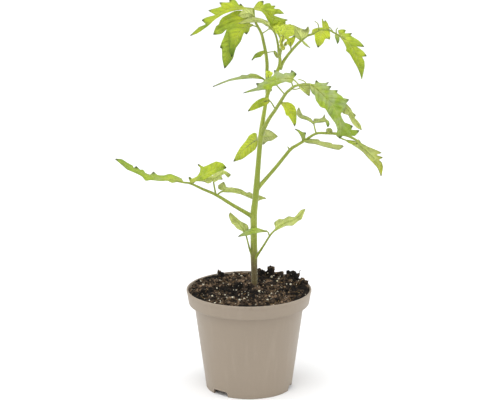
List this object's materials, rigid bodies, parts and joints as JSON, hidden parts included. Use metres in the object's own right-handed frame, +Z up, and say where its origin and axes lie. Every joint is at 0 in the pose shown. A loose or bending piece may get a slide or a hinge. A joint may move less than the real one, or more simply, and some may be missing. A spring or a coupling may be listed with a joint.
{
  "type": "potted tomato plant",
  "caption": "Young tomato plant with cut compound leaves and flower buds, standing in potting mix in a tapered plastic nursery pot with a collar.",
  "frame": {"origin": "on the ground under the middle of the whole plant, on the pot's axis", "axes": "+Z up along the pot's axis; -Y is the front that the picture shows, +X is to the right of that front"},
  "size_m": [0.2657, 0.1529, 0.3946],
  "materials": {
    "pot_plastic": "taupe, smooth, slightly sheened moulded plastic",
    "potting_mix": "dark crumbly peat mix with pale perlite grains and brown fibres",
    "stem": "green, finely hairy, brownish at the foot",
    "leaf": "soft green, veined, finely hairy, paler below",
    "young_leaf": "bright yellow-green, soft",
    "flower_bud": "closed hairy buds, yellow-green to reddish brown"
  },
  "bodies": {
    "root": {"pot": "pot_plastic", "potting_mix": "potting_mix", "main_stem": "stem", "leaf_01": "leaf", "leaf_02": "leaf", "leaf_03": "leaf", "leaf_04": "leaf", "leaf_05": "leaf", "leaf_06": "leaf", "leaf_07": "leaf", "leaf_08": "leaf", "leaf_09": "leaf", "leaf_10": "leaf", "axil_leaf": "young_leaf", "tip_leaves": "young_leaf", "flower_buds": "flower_bud"}
  },
  "joints": []
}
